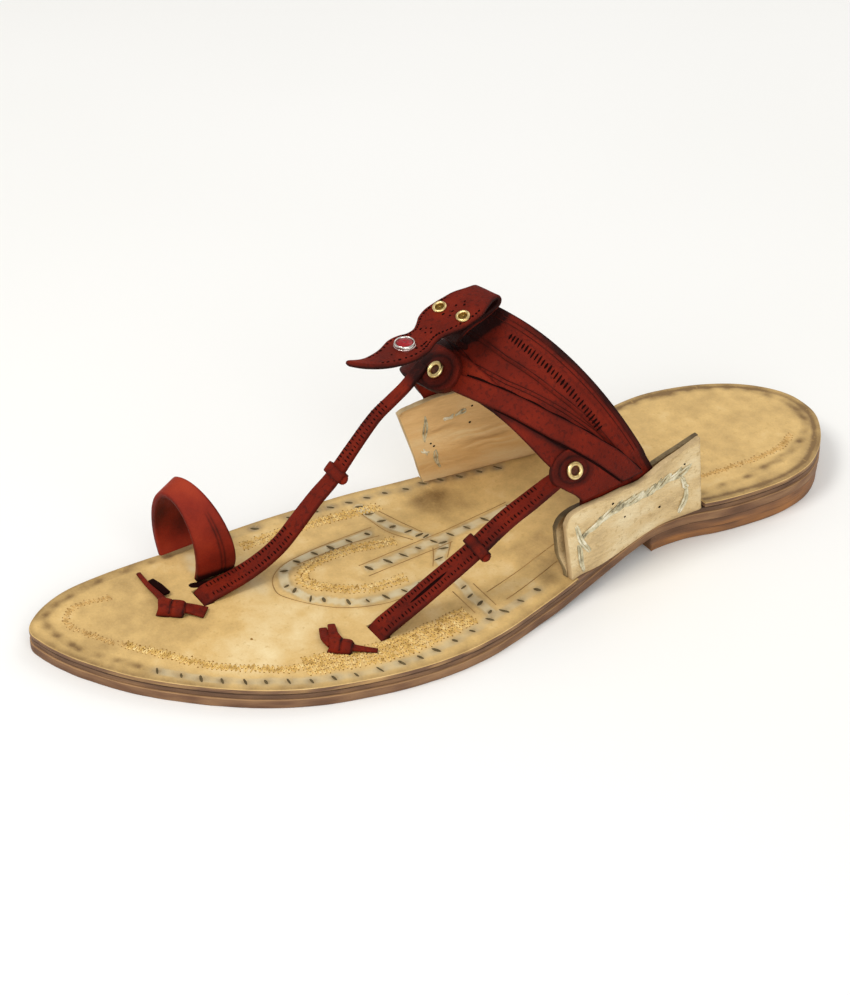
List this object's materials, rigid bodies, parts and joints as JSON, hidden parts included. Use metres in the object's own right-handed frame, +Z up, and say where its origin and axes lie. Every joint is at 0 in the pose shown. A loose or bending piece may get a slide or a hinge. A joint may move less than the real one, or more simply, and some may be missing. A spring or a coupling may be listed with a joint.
{
  "type": "toe-loop leather sandal",
  "caption": "Open leather sandal with a stacked leather sole, ear sides, an arched instep band, two straps, a toe loop and a folded tongue.",
  "frame": {"origin": "on the floor under the middle of the sole's outline", "axes": "+Z up; the heel points to +Y and the toe to -Y; +X is the outer (lateral) side of this left sandal"},
  "size_m": [0.0899, 0.258, 0.0831],
  "materials": {
    "edge_leather": "brown vegetable-tanned sole leather, dressed edge",
    "tan_leather": "undyed tan footbed leather, smooth and worn",
    "ear_leather": "pale undyed leather, creased",
    "red_leather": "dark red dyed leather, low sheen",
    "loop_leather": "brighter red dyed leather, low sheen",
    "brass": "rolled brass, polished",
    "white_metal": "white metal, soft polish"
  },
  "bodies": {
    "root": {"outsole": "edge_leather", "midsole": "edge_leather", "heel_lift_upper": "edge_leather", "heel_lift_lower": "edge_leather", "insole": "tan_leather", "ear_lateral_outer": "ear_leather", "ear_lateral_inner": "ear_leather", "ear_medial_outer": "ear_leather", "ear_medial_inner": "ear_leather", "upper": "red_leather", "toe_loop": "loop_leather", "tongue": "red_leather", "eyelet_tab_lateral": "brass", "eyelet_tab_medial": "brass", "eyelet_tongue_medial": "brass", "eyelet_tongue_lateral": "brass", "eyelet_tongue_front": "white_metal", "keeper_medial": "red_leather", "keeper_lateral": "red_leather", "knot_medial": "red_leather", "knot_lateral": "red_leather"}
  },
  "joints": []
}
